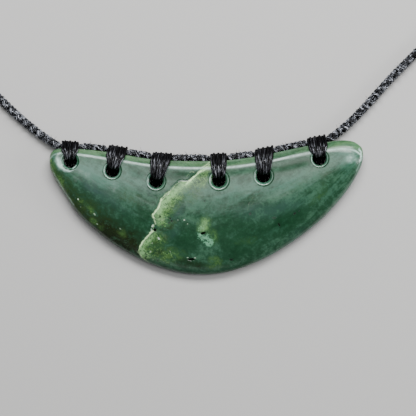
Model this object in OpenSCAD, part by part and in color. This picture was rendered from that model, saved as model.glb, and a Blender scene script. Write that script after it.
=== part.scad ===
// Greenstone breastplate pendant: a polished crescent lashed along a plaited neck cord.
// It lies on its flat back, face up. X runs from tip to tip, Y towards the straighter edge,
// Z out of the face, and the origin is on the surface that it lies on. Millimetres.

/* [Stone] */
// Width of the bevel along the straighter edge
bevel_w = 1.8; // [1.2:0.1:2.4]
// How far the rounded fall reaches from the bevel towards the crown of the face
fall_w = 12; // [8:1:16]
// How far the back is relieved from the straighter edge, to clear the lashings
relief_w = 17; // [16:0.5:19]
// Diameter of the six holes
hole_d = 4.6; // [4.4:0.1:4.8]
// Depth of the countersink at each end of a hole
sink_depth = 1.1; // [0.8:0.1:1.3]

/* [Lashings] */
// Thickness of the waxed thread
thread_d = 0.85; // [0.7:0.05:0.9]
// Width of the bundle of turns inside a hole
bundle_w = 3.6; // [3.2:0.1:3.7]
// Thickness of the bundle of turns inside a hole
bundle_t = 2.2; // [1.8:0.1:2.2]
// Clearance between a lashing and what it binds
gap = 0.12; // [0.1:0.01:0.15]

/* [Cord] */
// Diameter of the plaited cord
cord_d = 3; // [2.8:0.1:3]
// Diameter of the cord where a lashing squeezes it
squeezed_d = 1.6; // [1.5:0.1:1.7]

/* [Clasp] */
// Length of the barrel clasp
clasp_len = 12; // [10:1:13]
// Diameter of the barrel clasp
clasp_d = 5; // [4.5:0.1:5]
// Chamfer at each end of the barrel
clasp_chamfer = 0.8; // [0.4:0.1:0.9]

/* [Hidden] */

// Columns of the stone's table of sections, a row for each
X = 0;
TOP = 1;
LOW = 2;
CROWN = 3;
BELLY = 4;
// where it is, its upper and lower edges, and the heights of its face and of its back
SECTIONS = [
    [-52.5, 16.1, 14.2, 3.9, 2.3],
    [-52.0, 17.6, 12.3, 4.8, 1.5],
    [-50.6, 18.8,  9.8, 5.6, 0.9],
    [-47.8, 19.3,  5.4, 6.0, 0.4],
    [-43.8, 19.1, -1.1, 6.3, 0.1],
    [-37.5, 18.6, -7.4, 6.7, -0.2],
    [-29.0, 17.4, -13.6, 6.9, -0.35],
    [-18.0, 15.6, -19.3, 7.0, -0.35],
    [ -6.0, 15.0, -22.5, 7.0, -0.35],
    [  6.0, 15.2, -22.0, 7.0, -0.35],
    [ 18.1, 16.8, -17.8, 7.0, -0.35],
    [ 29.0, 19.1, -11.5, 6.9, -0.35],
    [ 38.0, 20.9, -4.5, 6.6, -0.2],
    [ 44.6, 21.9,  2.3, 6.2, 0.1],
    [ 48.8, 21.6,  8.2, 5.7, 0.6],
    [ 51.3, 20.2, 12.9, 4.8, 1.4],
    [ 52.3, 18.8, 15.6, 4.1, 2.1],
    [ 52.5, 17.9, 16.8, 3.7, 2.4]
];
SECTION_STEPS = 3;
// heights of a section's turning points, as shares of its thickness
NOSE_Z = 0.58;
ARRIS_Z = 0.9;
LOWER_EDGE_Z = 0.33;
// how much the bevel's slope bulges, and how the back's relief fades: powers, 1 is straight
BEVEL_BULGE = 0.8;
RELIEF_FADE = 1.3;
// the underside of the top edge, from its nose: distance in and height share
UNDERCUT = [[0.4, 0.483], [0.8, 0.401], [1.4, 0.333]];
TUCK_W = 1.4;
TUCK_Z = 0.333;
FULL_TUCK_H = 12;
// widths of a section's parts where the crescent is narrow, as shares of its height
BEVEL_SHARE = 0.25;
FALL_SHARE = 0.3;
RELIEF_SHARE = 0.5;
ROUND_SHARE = 0.6;
KEEL_SHARE = 0.4;
// how far the back rises towards the lower edge
KEEL_W = 9;

// Columns of the table of holes and lashings, a row for each, left to right
HX = 0;
HY = 1;
SINK_R = 2;
EX = 3;
EW = 4;
// hole centre, countersink radius, where the lashing crosses the top edge, its width there
BINDINGS = [
    [-45.3, 14.9, 3.0, -45.5, 5.8],
    [-31.3, 11.8, 3.2, -30.0, 6.4],
    [-16.7,  8.3, 3.4, -15.2, 6.6],
    [  4.2,  8.6, 3.6,   4.1, 5.6],
    [ 19.0, 10.0, 3.5,  19.3, 6.3],
    [ 37.7, 15.8, 3.2,  37.1, 6.4]
];

// A lashing's bundle of turns lies in the hole this far from its wall on the edge's side
BUNDLE_INSET = 1.5;
THREAD_SLACK = 0.05;
// how much wider the turns spread as they leave the hole, and how they rise towards the bevel
WAIST_MORE = 0.2;
RISE_STEP = 0.2;
NOSE_RISE = 1.8;
NOSE_OUT = 0.2;
RIM_W = 0.9;
BACK_RIM_W = 0.6;
// columns of the tables of the turns at the hole's two rims: out from the bundle's middle,
// up from the rim, wider than the bundle, and thickness
RIM_OUT = 0;
RIM_UP = 1;
RIM_MORE = 2;
RIM_THICK = 3;
FRONT_RIM = [[0, -1.5, 0, bundle_t], [0.3, -0.5, 0, 1.7], [1.15, 0.35, WAIST_MORE, 1.1]];
BACK_RIM = [[1.15, -0.3, WAIST_MORE, 1.1], [0.3, 0.6, 0, 1.7], [0, 1.6, 0, bundle_t]];
// directions round the cord where the turns pass, in degrees up from level
ROUND_CORD = [40, 10, -20, -50, -80, -115];
// the band's cross-section: its half thickness at the sides, and its cut corners, as shares
BAND_SIDE = 0.4;
BAND_CORNER = 0.7;

// Height of the cord's middle along the stone, and how far it lies out from the edge
CORD_Z = 2.1;
CORD_OUT = 0.9;
// Half the length of cord that a lashing squeezes, and the Y past which no lashing lies
SQUEEZE_REACH = 3.45;
CLEAR_Y = 30;
CLASP_MID = [0, 103.8, 2.5];
// Route of the cord's middle, from the clasp's right end round to its left end
ROUTE = [
    CLASP_MID + [clasp_len / 2, 0, 0],
    [14, 103.8, 2.5], [30, 103.8, 1.5], [47, 103.6, 1.5], [62, 102.4, 1.5],
    [74, 99, 1.5], [82.3, 92.3, 1.5], [86.3, 83.3, 1.5], [86, 73, 1.5], [82.3, 64.5, 1.5],
    [76.5, 57.3, 1.5], [70, 51, 1.5], [61.5, 42.4, 1.5], [53.3, 33.3, 1.5], [46.5, 26.6, 1.8],
    [40.5, 22.3, 2.1], [33.7, 21, 2.1], [22.7, 18.6, 2.1], [15.9, 17.3, 2.1],
    [7.5, 16.2, 2.1], [0.7, 15.9, 2.1], [-11.8, 16, 2.1], [-18.6, 16.6, 2.1],
    [-26.6, 17.9, 2.1], [-33.4, 18.9, 2.1], [-42.1, 19.9, 2.1], [-48.9, 20.1, 2.1],
    [-53.8, 22.8, 1.8], [-60.6, 28, 1.5], [-68.8, 35.6, 1.5], [-77.6, 45.2, 1.5],
    [-84.4, 57.4, 1.5], [-86.8, 71, 1.5], [-84, 84.6, 1.5], [-76, 95.6, 1.5],
    [-62, 101.9, 1.5], [-46, 103.6, 1.5], [-30, 103.8, 1.5], [-14, 103.8, 2.5],
    CLASP_MID - [clasp_len / 2, 0, 0]
];
CORD_SIDES = 8;

function unit(v) = v / norm(v);
function mixed(a, b, t) = a + (b - a) * t;

// A smooth curve through table rows: the row at fraction t between rows i and i + 1
function eased(rows, i, t) =
    let (n = len(rows) - 1,
         a = rows[max(i - 1, 0)], b = rows[i], c = rows[min(i + 1, n)], d = rows[min(i + 2, n)])
    b + t / 2 * ((c - a) + t * ((2 * a - 5 * b + 4 * c - d) + t * (3 * (b - c) + d - a)));
function eased_all(rows, steps) = [
    for (i = [0:len(rows) - 2], k = [0:steps - 1]) eased(rows, i, k / steps),
    rows[len(rows) - 1]
];

// Faces between rings of n points, clockwise from outside where a ring is clockwise from its far side
function skin(rings, n, closed) = [
    for (i = [0:rings - (closed ? 1 : 2)], j = [0:n - 1])
        let (i2 = (i + 1) % rings, j2 = (j + 1) % n)
        each [[i * n + j, i * n + j2, i2 * n + j2], [i * n + j, i2 * n + j2, i2 * n + j]]
];
function end_caps(rings, n) = [
    [for (j = [n - 1:-1:0]) j],
    [for (j = [0:n - 1]) (rings - 1) * n + j]
];

// Height of the stone's face at distance w from its top edge
function face_z(w, bevel, fall, crown, belly) =
    let (t = crown - belly, up = min(1, w / bevel), in = min(1, max(0, w - bevel) / fall))
    w < bevel ? belly + t * mixed(NOSE_Z, ARRIS_Z, pow(up, BEVEL_BULGE))
              : crown - t * (1 - ARRIS_Z) * pow(1 - in, 2);

// Height of the stone's back at distance w from its top edge
function back_z(w, relief, crown, belly) =
    belly + (crown - belly) * TUCK_Z * pow(1 - min(1, max(0, w - TUCK_W) / (relief - TUCK_W)),
                                           RELIEF_FADE);

// One section: from the lower edge over the face to the top edge, and home along the back
function section(s) =
    let (h = s[TOP] - s[LOW], t = s[CROWN] - s[BELLY],
         small = min(1, h / FULL_TUCK_H),
         bevel = min(bevel_w, BEVEL_SHARE * h), fall = min(fall_w, FALL_SHARE * h),
         relief = min(relief_w, RELIEF_SHARE * h), round_w = ROUND_SHARE * h,
         keel_w = min(KEEL_W, KEEL_SHARE * h),
         shoulder = h - round_w)
    [
        for (a = [0:11.25:89])
            let (v = round_w * (1 - cos(a)),
                 low = s[BELLY] + t * mixed(LOWER_EDGE_Z, 1, sin(a)))
            [s[X], s[LOW] + v, min(low, face_z(h - v, bevel, fall, s[CROWN], s[BELLY]))],
        for (k = [0:3])
            let (w = mixed(shoulder, bevel, k / 4))
            [s[X], s[TOP] - w, face_z(w, bevel, fall, s[CROWN], s[BELLY])],
        for (k = [3:-1:0])
            let (w = bevel * k / 3)
            [s[X], s[TOP] - w, face_z(w, bevel, fall, s[CROWN], s[BELLY])],
        for (u = UNDERCUT) [s[X], s[TOP] - u[0] * small, s[BELLY] + t * u[1]],
        for (k = [1:5])
            let (w = mixed(TUCK_W * small, relief, k / 5))
            [s[X], s[TOP] - w, s[BELLY] + t * TUCK_Z * pow(1 - k / 5, RELIEF_FADE)],
        for (k = [0:3])
            let (v = keel_w * (1 - k / 4))
            [s[X], s[LOW] + v, s[BELLY] + t * LOWER_EDGE_Z * pow(k / 4, 2)]
    ];

STATIONS = eased_all(SECTIONS, SECTION_STEPS);
function top_at(x) = lookup(x, [for (s = STATIONS) [s[X], s[TOP]]]);
function crown_at(x) = lookup(x, [for (s = STATIONS) [s[X], s[CROWN]]]);
function belly_at(x) = lookup(x, [for (s = STATIONS) [s[X], s[BELLY]]]);

module blank() {
    rings = [for (s = STATIONS) section(s)];
    n = len(rings[0]);
    polyhedron([for (r = rings) each r], concat(skin(len(rings), n, false), end_caps(len(rings), n)));
}

// A hole with a countersink on the face and on the back
module drilled(b) {
    front = face_z(top_at(b[HX]) - b[HY], bevel_w, fall_w, crown_at(b[HX]), belly_at(b[HX]));
    back = back_z(top_at(b[HX]) - b[HY], relief_w, crown_at(b[HX]), belly_at(b[HX]));
    flare = (b[SINK_R] - hole_d / 2) / sink_depth;
    over = 1;
    translate([b[HX], b[HY], 0]) {
        translate([0, 0, -over]) cylinder(d = hole_d, h = front + 2 * over, $fn = 48);
        translate([0, 0, front - sink_depth])
            cylinder(r1 = hole_d / 2, r2 = b[SINK_R] + flare * over, h = sink_depth + over, $fn = 48);
        translate([0, 0, back - over])
            cylinder(r1 = b[SINK_R] + flare * over, r2 = hole_d / 2, h = sink_depth + over, $fn = 48);
    }
}

module stone() {
    // the wheel that the back is rubbed flat on
    side = 120;
    depth = 5;
    color("#3f6b4f") difference() {
        blank();
        for (b = BINDINGS) drilled(b);
        translate([-side / 2, -side / 2, -depth]) cube([side, side, depth]);
    }
}

// A turn's path round the edge, in the plane of hole and edge: [out from the hole, height, width, thickness]
function turn_path(b) =
    let (out = norm([b[EX] - b[HX], top_at(b[EX]) - b[HY]]),
         crown = crown_at(b[EX]), belly = belly_at(b[EX]), r = hole_d / 2,
         lift = gap + THREAD_SLACK + thread_d / 2, ring = squeezed_d / 2 + lift,
         front = face_z(out, bevel_w, fall_w, crown, belly),
         back = back_z(out, relief_w, crown, belly),
         in_hole = r - BUNDLE_INSET, rim = r + RIM_W,
         face_start = min(rim, out - bevel_w), over_bevel = out - bevel_w / 2,
         under_edge = max(out - TUCK_W, rim), waist = bundle_w + WAIST_MORE)
    concat(
        [[in_hole, (front + back) / 2, bundle_w, bundle_t]],
        [for (f = FRONT_RIM) [in_hole + f[RIM_OUT], front + f[RIM_UP], bundle_w + f[RIM_MORE], f[RIM_THICK]]],
        [for (k = [0:3])
            let (a = mixed(face_start, over_bevel, k / 3))
            [a, face_z(out - a, bevel_w, fall_w, crown, belly) + lift * (1 + RISE_STEP * k),
             mixed(waist, b[EW], (k + 1) / 4), thread_d]],
        [[out + NOSE_OUT, face_z(0, bevel_w, fall_w, crown, belly) + NOSE_RISE * lift, b[EW], thread_d]],
        [for (turn = ROUND_CORD)
            [out + CORD_OUT + ring * cos(turn), CORD_Z + ring * sin(turn), b[EW], thread_d]],
        [for (k = [0:2])
            let (a = mixed(under_edge, r + BACK_RIM_W, k / 2))
            [a, back_z(out - a, relief_w, crown, belly) - lift, mixed(b[EW], waist, k / 2), thread_d]],
        [for (f = BACK_RIM) [in_hole + f[RIM_OUT], back + f[RIM_UP], bundle_w + f[RIM_MORE], f[RIM_THICK]]]
    );

// One lashing: a flat band of thread turns swept round its closed path
module lashing(b) {
    path = turn_path(b);
    n = len(path);
    hole = [b[HX], b[HY], 0];
    edge = [b[EX], top_at(b[EX]), 0];
    away = unit(edge - hole);
    along = unit([2, top_at(b[EX] + 1) - top_at(b[EX] - 1), 0]);
    across = unit([away[1], -away[0], 0]);
    points = [
        for (i = [0:n - 1])
            let (p = path[i], q = path[(i + 1) % n] - path[(i + n - 1) % n],
                 step = unit(away * q[0] + [0, 0, q[1]]),
                 near_edge = min(1, max(0, p[0] / norm(edge - hole))),
                 wide = unit(mixed(across, along, near_edge)),
                 thick = unit([0, 0, away * step] - away * step[2]),
                 half_w = p[2] / 2, half_t = p[3] / 2, side_t = BAND_SIDE * half_t,
                 flat_w = half_w - BAND_CORNER * min(half_w, half_t))
            for (c = [[half_w, -side_t], [half_w, side_t], [flat_w, half_t], [-flat_w, half_t],
                      [-half_w, side_t], [-half_w, -side_t], [-flat_w, -half_t], [flat_w, -half_t]])
                hole + away * p[0] + [0, 0, p[1]] + wide * c[0] + thick * c[1]
    ];
    color("#17171a") polyhedron(points, skin(n, 8, true));
}
module lashing_1() { lashing(BINDINGS[0]); }
module lashing_2() { lashing(BINDINGS[1]); }
module lashing_3() { lashing(BINDINGS[2]); }
module lashing_4() { lashing(BINDINGS[3]); }
module lashing_5() { lashing(BINDINGS[4]); }
module lashing_6() { lashing(BINDINGS[5]); }

// The cord is squeezed where it lies under a lashing
function is_squeezed(p) = p[1] < CLEAR_Y && min([for (b = BINDINGS) abs(p[0] - b[EX])]) < SQUEEZE_REACH;

// Rings of the cord: one on each squeezed point, two to a step elsewhere
function cord_line() = [
    for (i = [0:len(ROUTE) - 2])
        let (bound = is_squeezed(ROUTE[i]) && is_squeezed(ROUTE[i + 1])
                     && abs(ROUTE[i + 1][0] - ROUTE[i][0]) < 2 * SQUEEZE_REACH,
             steps = bound ? 1 : is_squeezed(ROUTE[i]) && is_squeezed(ROUTE[i + 1]) ? 3 : 2)
        for (k = [0:steps - 1]) eased(ROUTE, i, k / steps),
    ROUTE[len(ROUTE) - 1]
];

module neck_cord() {
    line = cord_line();
    n = len(line);
    points = [
        for (i = [0:n - 1])
            let (step = i == 0 || i == n - 1 ? [1, 0, 0] : unit(line[i + 1] - line[i - 1]),
                 side = unit(cross([0, 0, 1], step)), up = cross(step, side),
                 r = (is_squeezed(line[i]) ? squeezed_d : cord_d) / 2)
            for (k = [0:CORD_SIDES - 1])
                let (a = -360 * (k + 0.5) / CORD_SIDES)
                line[i] + side * r * cos(a) + up * r * sin(a)
    ];
    color("#1c1c20") polyhedron(points, concat(skin(n, CORD_SIDES, false), end_caps(n, CORD_SIDES)));
}

module clasp() {
    r = clasp_d / 2;
    half = clasp_len / 2;
    color("#2a2a2e") translate(CLASP_MID) rotate([0, 90, 0]) rotate_extrude($fn = 64)
        polygon([[0, -half], [r - clasp_chamfer, -half], [r, clasp_chamfer - half],
                 [r, half - clasp_chamfer], [r - clasp_chamfer, half], [0, half]]);
}

stone();
lashing_1();
lashing_2();
lashing_3();
lashing_4();
lashing_5();
lashing_6();
neck_cord();
clasp();
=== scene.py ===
import math

import bmesh
import bpy
import numpy as np
from mathutils import Matrix, Vector, noise


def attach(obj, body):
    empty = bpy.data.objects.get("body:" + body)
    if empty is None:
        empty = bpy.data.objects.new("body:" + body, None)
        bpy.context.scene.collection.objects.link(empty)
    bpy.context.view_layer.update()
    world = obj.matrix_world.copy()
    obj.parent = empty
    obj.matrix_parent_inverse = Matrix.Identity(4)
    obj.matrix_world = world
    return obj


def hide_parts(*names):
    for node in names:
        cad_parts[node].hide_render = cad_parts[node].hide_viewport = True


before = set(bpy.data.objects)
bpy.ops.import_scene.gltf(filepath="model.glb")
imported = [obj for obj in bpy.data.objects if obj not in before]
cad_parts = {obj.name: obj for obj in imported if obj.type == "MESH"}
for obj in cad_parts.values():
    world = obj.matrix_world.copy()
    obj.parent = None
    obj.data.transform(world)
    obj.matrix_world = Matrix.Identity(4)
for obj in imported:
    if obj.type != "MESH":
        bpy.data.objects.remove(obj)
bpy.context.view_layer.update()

# The table, light and camera.
# The pendant lies on a plain pale table under soft studio light, and is seen from straight above.
# Lengths here and below are in millimetres, and MM turns them into the frame's metres.
MM = 0.001
FRAME_PX = 416
PX_PER_MM = 3.0
# the point in the middle of the frame, and the height of the stone's face that sets the scale
PHOTO_MIDDLE = (0.57, -0.67)
FACE_HEIGHT = 5.0
LENS_MM = 135
SENSOR_MM = 36
TABLE_SIZE = 4000
TABLE_GREY = (0.56, 0.555, 0.545, 1)
TABLE_ROUGHNESS = 0.85
SKY_COLOUR = (0.80, 0.84, 0.88, 1)
SKY_STRENGTH = 0.16

camera_height = FACE_HEIGHT + FRAME_PX / PX_PER_MM * LENS_MM / SENSOR_MM
camera = bpy.data.objects.new("camera", bpy.data.cameras.new("camera"))
camera.data.lens = LENS_MM
camera.data.sensor_width = SENSOR_MM
camera.data.clip_start = 0.01
camera.location = (PHOTO_MIDDLE[0] * MM, PHOTO_MIDDLE[1] * MM, camera_height * MM)
bpy.context.scene.collection.objects.link(camera)
bpy.context.scene.camera = camera


def show(obj):
    bpy.context.scene.collection.objects.link(obj)
    return obj


def shaped(name, shape):
    """A new object with the mesh that the bmesh holds."""
    made = show(bpy.data.objects.new(name, bpy.data.meshes.new(name)))
    shape.to_mesh(made.data)
    shape.free()
    return made


def material(name):
    """A new material with its Principled shader: returns the material, its tree and the shader."""
    made = bpy.data.materials.new(name)
    made.use_nodes = True
    return made, made.node_tree, made.node_tree.nodes["Principled BSDF"]


table_mesh = bmesh.new()
bmesh.ops.create_grid(table_mesh, x_segments=1, y_segments=1, size=TABLE_SIZE / 2 * MM)
table = shaped("table", table_mesh)
table_look, tree, shader = material("pale_table")
shader.inputs["Base Color"].default_value = TABLE_GREY
shader.inputs["Roughness"].default_value = TABLE_ROUGHNESS
table.data.materials.append(table_look)

# name, place, size, strength in watts and the point that it faces
LAMPS = [
    ("window_lamp", (80, 520, 560), (760, 260), 10.0, (0, 0, 0)),
    ("overhead_lamp", (0, 190, 900), (900, 330), 2.4, (0, 60, 0)),
    ("near_lamp", (-100, -700, 520), (600, 180), 0.12, (0, 0, 0)),
    ("right_lamp", (640, 40, 240), (300, 150), 2.0, (0, 0, 0)),
]
for name, place, size, watts, aim in LAMPS:
    lamp = bpy.data.lights.new(name, "AREA")
    lamp.shape = "RECTANGLE"
    lamp.size, lamp.size_y = (side * MM for side in size)
    lamp.energy = watts
    lamp_object = show(bpy.data.objects.new(name, lamp))
    lamp_object.location = Vector(place) * MM
    lamp_object.rotation_euler = (Vector(aim) - Vector(place)).to_track_quat("-Z", "Y").to_euler()
world = bpy.data.worlds.new("studio")
world.use_nodes = True
sky = world.node_tree.nodes["Background"]
sky.inputs["Color"].default_value = SKY_COLOUR
sky.inputs["Strength"].default_value = SKY_STRENGTH
bpy.context.scene.world = world

# The neck cord.
# Four strands of black waxed thread, plaited round. It lies along the stone's top edge under
# six lashings that squeeze it, and goes round the neck to both ends of the clasp.
CORD_D = 3.0
SQUEEZED_D = 1.6
# each lashing's hole centre x and y, countersink radius, where it crosses the top edge, width, turns
BINDINGS = [
    (-45.3, 14.9, 3.0, -45.5, 5.8, 7),
    (-31.3, 11.8, 3.2, -30.0, 6.4, 8),
    (-16.7, 8.3, 3.4, -15.2, 6.6, 8),
    (4.2, 8.6, 3.6, 4.1, 5.6, 7),
    (19.0, 10.0, 3.5, 19.3, 6.3, 8),
    (37.7, 15.8, 3.2, 37.1, 6.4, 8),
]
# x, y and height of the cord's middle, from the clasp's right end round to its left end
ROUTE = [
    (6, 103.8, 2.5), (14, 103.8, 2.5), (30, 103.8, 1.5), (47, 103.6, 1.5), (62, 102.4, 1.5),
    (74, 99, 1.5), (82.3, 92.3, 1.5), (86.3, 83.3, 1.5), (86, 73, 1.5), (82.3, 64.5, 1.5),
    (76.5, 57.3, 1.5), (70, 51, 1.5), (61.5, 42.4, 1.5), (53.3, 33.3, 1.5), (46.5, 26.6, 1.8),
    (40.5, 22.3, 2.1), (33.7, 21, 2.1), (22.7, 18.6, 2.1), (15.9, 17.3, 2.1),
    (7.5, 16.2, 2.1), (0.7, 15.9, 2.1), (-11.8, 16, 2.1), (-18.6, 16.6, 2.1),
    (-26.6, 17.9, 2.1), (-33.4, 18.9, 2.1), (-42.1, 19.9, 2.1), (-48.9, 20.1, 2.1),
    (-53.8, 22.8, 1.8), (-60.6, 28, 1.5), (-68.8, 35.6, 1.5), (-77.6, 45.2, 1.5),
    (-84.4, 57.4, 1.5), (-86.8, 71, 1.5), (-84, 84.6, 1.5), (-76, 95.6, 1.5),
    (-62, 101.9, 1.5), (-46, 103.6, 1.5), (-30, 103.8, 1.5), (-14, 103.8, 2.5), (-6, 103.8, 2.5),
]
# spacing of the points along the cord's middle
RING_STEP = 0.45
# one turn of a strand, how far it runs from the cord's middle, and how far it dips and rises there
PLAIT_TURN = 6.2
STRAND_ORBIT = 0.76
STRAND_WEAVE = 0.14
# each strand is three plies twisted together
PLIES = 3
PLY_R = 0.38
PLY_ORBIT = 0.36
PLY_TURN = 3.4
PLY_SWELL = 0.12
# loose hairs of the plait: how many, radius, longest, and how far from the cord's middle they start
HAIRS = 420
HAIR_R = 0.035
HAIR_LENGTH = 1.7
HAIR_ROOT = 1.25
# a lashing squeezes the cord fully this near to its middle, and not at all beyond the second distance
SQUEEZE_FROM, SQUEEZE_TO = 2.9, 4.6
# the cord crosses the same x again behind the neck, above this y
LASHED_BELOW_Y = 30
# the plait's dark colour, and the glint colour painted on a few of its hairs as highlights
PLAIT_DARK, PLAIT_GLINT = (0.002, 0.002, 0.0025), (0.72, 0.76, 0.86)


def eased(rows, i, t):
    """The point at fraction t between rows i and i + 1 of a smooth curve through them."""
    a, b, c, d = (np.asarray(rows[min(max(k, 0), len(rows) - 1)], float) for k in range(i - 1, i + 3))
    return b + t / 2 * ((c - a) + t * ((2 * a - 5 * b + 4 * c - d) + t * (3 * (b - c) + d - a)))


def smoothed(rows, parts):
    """The smooth curve through rows, with so many parts between one row and the next."""
    between = [eased(rows, i, k / parts) for i in range(len(rows) - 1) for k in range(parts)]
    return np.array(between + [rows[-1]])


def smooth_line(rows, step):
    """Points about a step apart along the smooth curve through rows, and how far along each lies."""
    fine = smoothed(rows, 24)
    gone = np.concatenate([[0], np.cumsum(np.linalg.norm(np.diff(fine, axis=0), axis=1))])
    even = np.linspace(0, gone[-1], int(gone[-1] / step) + 1)
    return np.column_stack([np.interp(even, gone, fine[:, k]) for k in range(fine.shape[1])]), even


def tubes(name, lines, radius, resolution=2):
    """One mesh of round tubes along lines of (x, y, z, thickness), with its own UV map along each."""
    curve = bpy.data.curves.new(name, "CURVE")
    curve.dimensions = "3D"
    curve.bevel_depth = radius * MM
    curve.bevel_resolution = resolution
    curve.use_fill_caps = True
    for line in lines:
        spline = curve.splines.new("POLY")
        spline.points.add(len(line) - 1)
        spline.points.foreach_set("co", np.column_stack([line[:, :3] * MM, np.ones(len(line))]).ravel())
        spline.points.foreach_set("radius", line[:, 3].copy())
    holder = show(bpy.data.objects.new(name + "_curve", curve))
    mesh = bpy.data.meshes.new_from_object(holder.evaluated_get(bpy.context.evaluated_depsgraph_get()))
    bpy.data.objects.remove(holder)
    mesh.name = name
    mesh.shade_smooth()
    return show(bpy.data.objects.new(name, mesh))


def smoothstep(low, high, value):
    t = np.clip((value - low) / (high - low), 0, 1)
    return t * t * (3 - 2 * t)


cord_line, cord_gone = smooth_line(ROUTE, RING_STEP)
ahead = np.gradient(cord_line, axis=0)
ahead /= np.linalg.norm(ahead, axis=1)[:, None]
cord_side = np.cross([0, 0, 1], ahead)
cord_side /= np.linalg.norm(cord_side, axis=1)[:, None]
cord_up = np.cross(ahead, cord_side)
to_lashing = np.min([np.abs(cord_line[:, 0] - row[3]) for row in BINDINGS], axis=0)
bound = (cord_line[:, 1] < LASHED_BELOW_Y) * (1 - smoothstep(SQUEEZE_FROM, SQUEEZE_TO, to_lashing))
fullness = 1 - bound * (1 - SQUEEZED_D / CORD_D)
plies = []
for way in (1, -1):
    for start in (0, math.pi):
        turn = way * 2 * math.pi * cord_gone / PLAIT_TURN + start
        orbit = (STRAND_ORBIT + way * STRAND_WEAVE * np.cos(2 * turn)) * fullness
        across = np.cos(turn + math.pi / 4) * orbit
        rise = np.sin(turn + math.pi / 4) * orbit
        middle = cord_line + cord_side * across[:, None] + cord_up * rise[:, None]
        for ply in range(PLIES):
            twist = 2 * math.pi * (cord_gone / PLY_TURN + ply / PLIES) + start
            swell = 1 + PLY_SWELL * np.sin(cord_gone * 1.9 + 2.1 * ply + start)
            aside = np.cos(twist) * PLY_ORBIT * fullness
            above = np.sin(twist) * PLY_ORBIT * fullness
            line = middle + cord_side * aside[:, None] + cord_up * above[:, None]
            line[:, 2] = np.maximum(line[:, 2], PLY_R * fullness * swell)
            plies.append(np.column_stack([line, fullness * swell]))
chance = np.random.default_rng(7)
hairs_out = []
for k in chance.integers(20, len(cord_line) - 20, HAIRS):
    if bound[k] > 0:
        continue
    angle = chance.uniform(-0.2 * math.pi, 1.2 * math.pi)
    root = cord_side[k] * math.cos(angle) + cord_up[k] * math.sin(angle)
    lean = ahead[k] * chance.uniform(-1.2, 1.2)
    tip = root + lean + chance.normal(0, 0.25, 3)
    reach = HAIR_LENGTH * chance.uniform(0.3, 1) * tip / np.linalg.norm(tip)
    base = cord_line[k] + root * HAIR_ROOT
    hair_line = [base + reach * t + root * 0.25 * math.sin(t * math.pi) for t in (0, 0.35, 0.7, 1)]
    hair_line = np.array(hair_line)
    hair_line[:, 2] = np.maximum(hair_line[:, 2], 0.1)
    thin = [HAIR_R / PLY_R * share for share in (1, 1, 0.8, 0.4)]
    hairs_out.append(np.column_stack([hair_line, thin]))
neck_cord = tubes("plaited_neck_cord", plies + hairs_out, PLY_R, 1)


def node(tree, kind, inputs=None, **settings):
    """Adds a node; each input is given a value or the socket that feeds it."""
    made = tree.nodes.new(kind)
    for name, value in settings.items():
        setattr(made, name, value)
    for name, value in (inputs or {}).items():
        if isinstance(value, bpy.types.NodeSocket):
            tree.links.new(value, made.inputs[name])
        else:
            made.inputs[name].default_value = value
    return made


# waxed fibres: streaks that run along a thread's own UV map
fibres = bpy.data.node_groups.new("waxed_fibres", "ShaderNodeTree")
for name in ("Along", "Around", "Wax"):
    fibres.interface.new_socket(name, in_out="INPUT", socket_type="NodeSocketFloat")
for name in ("Streak", "Height", "Roughness"):
    fibres.interface.new_socket(name, in_out="OUTPUT", socket_type="NodeSocketFloat")
given = node(fibres, "NodeGroupInput")
unwrapped = node(fibres, "ShaderNodeUVMap", uv_map="UVMap")
grain = node(fibres, "ShaderNodeCombineXYZ", {"X": given.outputs["Along"], "Y": given.outputs["Around"]})
along_thread = node(fibres, "ShaderNodeVectorMath",
                    {0: unwrapped.outputs[0], 1: grain.outputs[0]}, operation="MULTIPLY")
hairs = node(fibres, "ShaderNodeTexNoise",
             {"Vector": along_thread.outputs[0], "Scale": 1.0, "Detail": 4.0, "Roughness": 0.65})
fibre = hairs.outputs["Fac"]
streak = node(fibres, "ShaderNodeMapRange", {"Value": fibre, "From Min": 0.54, "From Max": 0.64})
dull = node(fibres, "ShaderNodeMapRange", {"Value": fibre, "From Min": 0.3, "From Max": 0.7,
                                           "To Min": 0.55, "To Max": given.outputs["Wax"]})
node(fibres, "NodeGroupOutput",
     {"Streak": streak.outputs[0], "Height": fibre, "Roughness": dull.outputs[0]})


def thread_look(name, along, around, wax, dark, light):
    """Black waxed thread: dark hairs with a few in a painted glint colour, glossy there; painted shade
    takes the glint colour and the gloss away.
    """
    made, tree, shader = material(name)
    hair = node(tree, "ShaderNodeGroup", node_tree=fibres)
    for socket, value in (("Along", along), ("Around", around), ("Wax", wax)):
        hair.inputs[socket].default_value = value
    bump = node(tree, "ShaderNodeBump",
                {"Height": hair.outputs["Height"], "Strength": 0.7, "Distance": 0.00012})
    painted_shade = node(tree, "ShaderNodeAttribute", attribute_name="painted_shade").outputs["Fac"]
    lit = node(tree, "ShaderNodeMath", {0: hair.outputs["Streak"], 1: painted_shade},
               operation="SUBTRACT", use_clamp=True).outputs[0]
    shade = node(tree, "ShaderNodeMix", {0: lit, 6: (*dark, 1), 7: (*light, 1)}, data_type="RGBA")
    gloss = node(tree, "ShaderNodeMapRange", {"Value": lit, "To Min": 0.12, "To Max": 0.9})
    duller = node(tree, "ShaderNodeMapRange", {"Value": painted_shade, "To Min": 1.0, "To Max": 0.0})
    shine = node(tree, "ShaderNodeMath", {0: gloss.outputs[0], 1: duller.outputs[0]}, operation="MULTIPLY")
    tree.links.new(shade.outputs[2], shader.inputs["Base Color"])
    tree.links.new(hair.outputs["Roughness"], shader.inputs["Roughness"])
    tree.links.new(shine.outputs[0], shader.inputs["Specular IOR Level"])
    tree.links.new(bump.outputs[0], shader.inputs["Normal"])
    return made


neck_cord.data.materials.append(
    thread_look("waxed_plait", 420.0, 9.0, 0.25, PLAIT_DARK, PLAIT_GLINT))
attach(neck_cord, "root")
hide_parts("neck_cord")

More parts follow.
